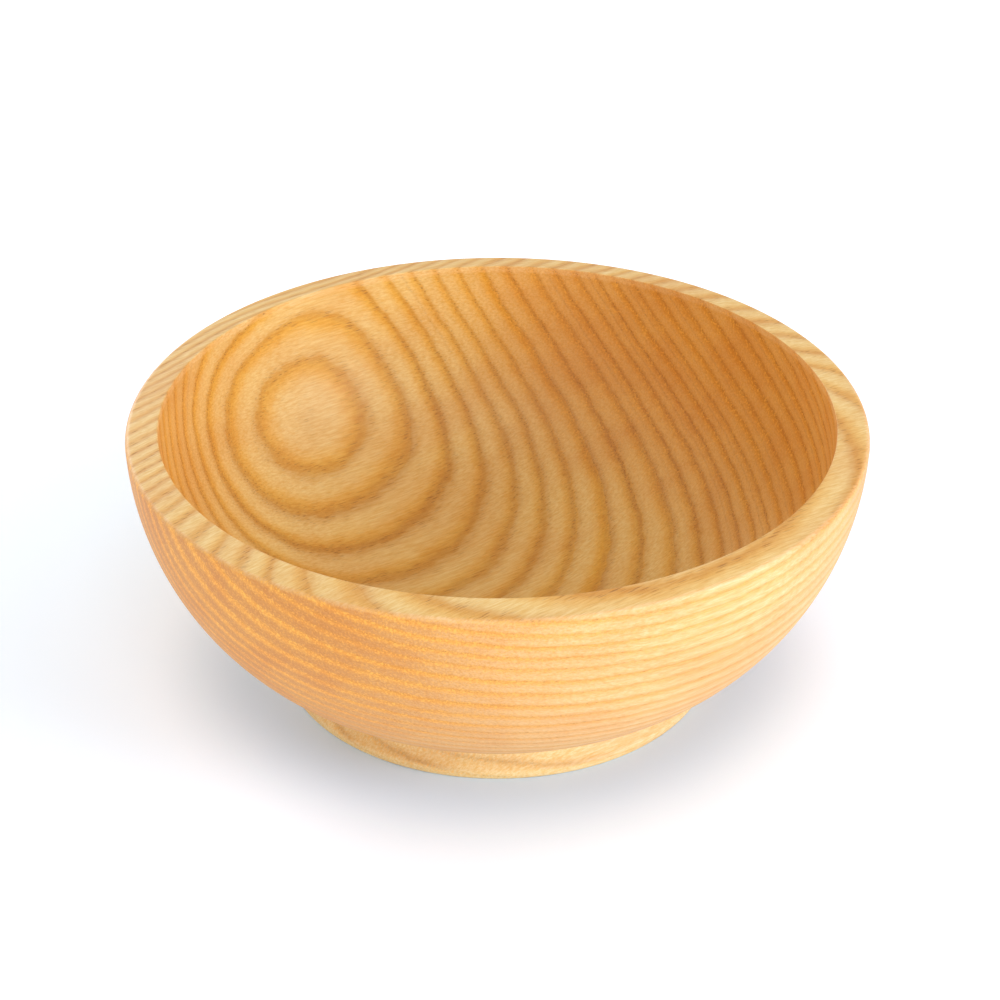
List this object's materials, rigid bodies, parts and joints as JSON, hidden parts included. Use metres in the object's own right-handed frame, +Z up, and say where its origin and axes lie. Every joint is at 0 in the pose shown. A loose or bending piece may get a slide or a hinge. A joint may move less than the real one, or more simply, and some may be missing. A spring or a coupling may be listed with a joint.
{
  "type": "turned wooden bowl",
  "caption": "Round lathe-turned ash bowl with a broad sloping rim, a full curved wall and a small coved foot, for serving or holding food.",
  "frame": {"origin": "centre of the foot's flat resting ring, on the turning axis", "axes": "+Z up along the turning axis from the foot to the rim; +Y away from the front, +X to the right"},
  "size_m": [0.15, 0.15, 0.058],
  "materials": {
    "ash_wood": "oiled, smooth turned ash with open rings, satin"
  },
  "bodies": {
    "root": {"turned_bowl": "ash_wood"}
  },
  "joints": []
}
